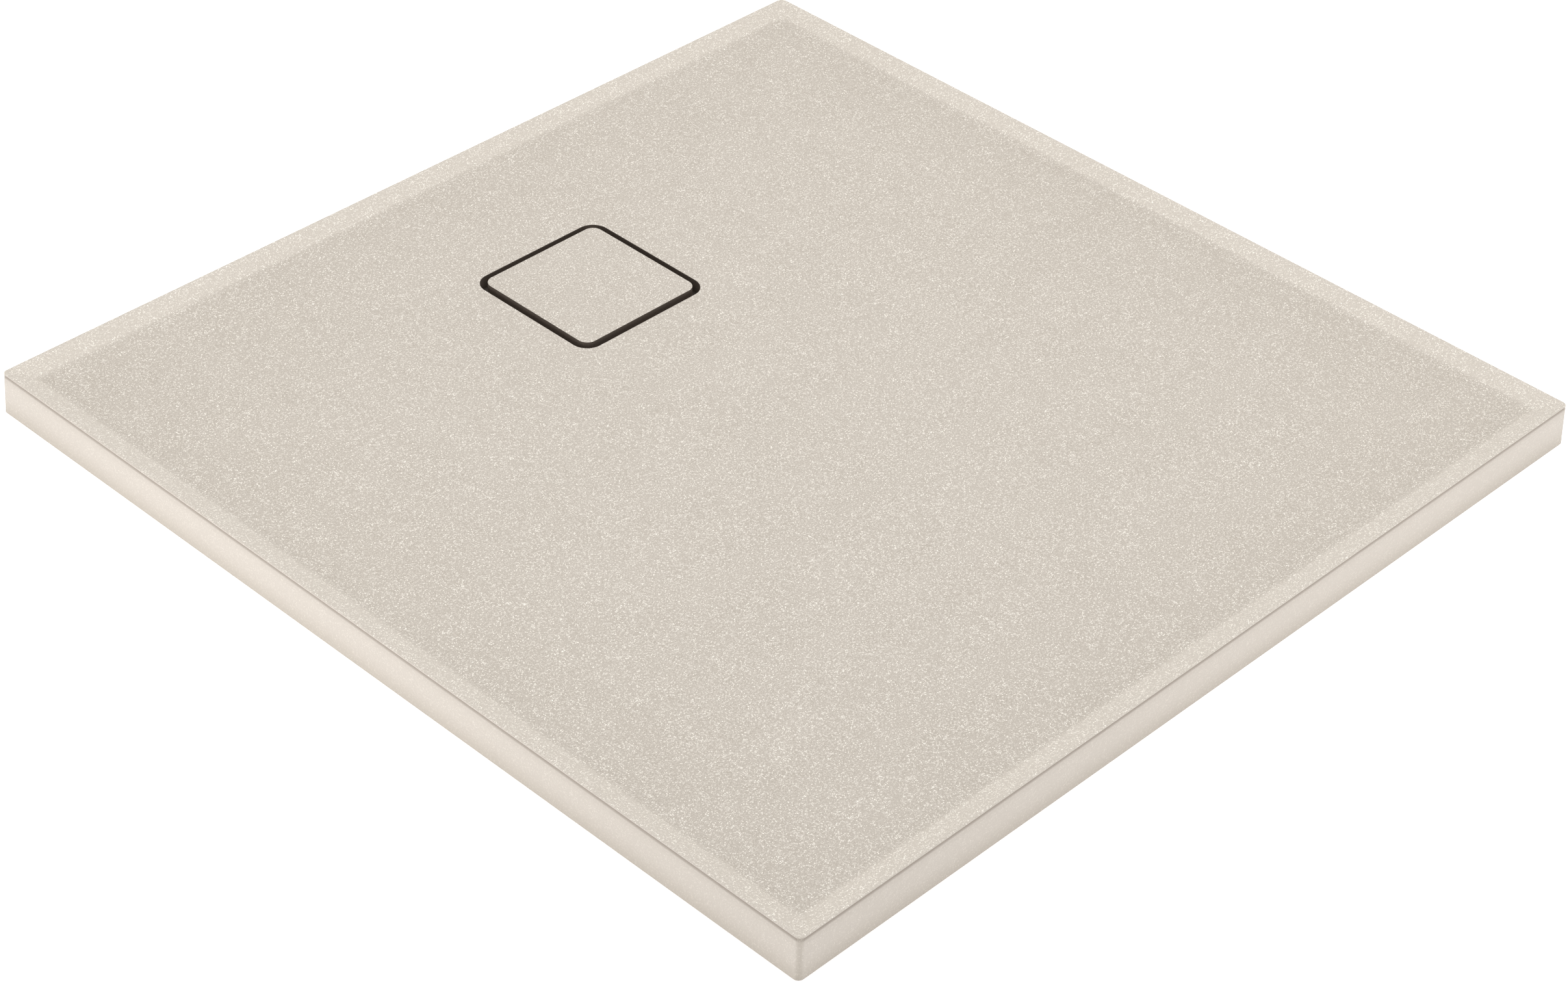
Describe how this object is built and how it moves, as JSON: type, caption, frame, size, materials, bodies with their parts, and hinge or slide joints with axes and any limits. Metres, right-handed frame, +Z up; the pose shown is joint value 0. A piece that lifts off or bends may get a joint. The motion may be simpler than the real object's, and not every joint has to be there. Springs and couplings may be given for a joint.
{
  "type": "shower tray",
  "caption": "Low square shower tray cast in granite composite, with a flush matching drain cover over a trapped waste fitting.",
  "frame": {"origin": "centre of the tray's underside, in the plane that is bedded on the floor", "axes": "+Z up, +Y towards the side nearer to the drain, +X to the right when looking along +Y"},
  "size_m": [0.9, 0.9, 0.1228],
  "materials": {
    "granite_composite": "cast granite composite, beige with fine pale flecks, matt and slightly grained",
    "polypropylene": "injection moulded, off-white, satin",
    "black_rubber": "moulded EPDM rubber, black, matt",
    "stainless_steel": "stainless steel, brushed on the strainer and turned on the screws",
    "white_nylon": "moulded nylon, white, satin"
  },
  "bodies": {
    "tray": {"shower_tray": "granite_composite", "upper_gasket": "black_rubber", "waste_flange": "polypropylene", "flange_screw_1": "stainless_steel", "flange_screw_2": "stainless_steel", "flange_screw_3": "stainless_steel", "flange_screw_4": "stainless_steel", "lower_gasket": "black_rubber", "trap_body": "polypropylene", "outlet_nut": "polypropylene", "outlet_seal": "black_rubber", "outlet_washer": "white_nylon"},
    "cover": {"drain_cover": "granite_composite", "cover_pad_1": "black_rubber", "cover_pad_2": "black_rubber", "cover_pad_3": "black_rubber", "cover_pad_4": "black_rubber"},
    "strainer": {"hair_strainer": "stainless_steel"},
    "insert": {"dip_tube": "polypropylene", "dip_tube_seal": "black_rubber", "trap_cup": "polypropylene"}
  },
  "joints": [
    {"name": "cover_lift", "type": "slide", "parent": "tray", "child": "cover", "axis": [0, 0, 1], "range_m": [0, 0.2]},
    {"name": "strainer_lift", "type": "slide", "parent": "tray", "child": "strainer", "axis": [0, 0, 1], "range_m": [0, 0.17]},
    {"name": "insert_lift", "type": "slide", "parent": "tray", "child": "insert", "axis": [0, 0, 1], "range_m": [0, 0.12]}
  ],
  "couplings": [
    {"joint": "strainer_lift", "follows": "cover_lift", "ratio": 0.85},
    {"joint": "insert_lift", "follows": "cover_lift", "ratio": 0.6}
  ]
}
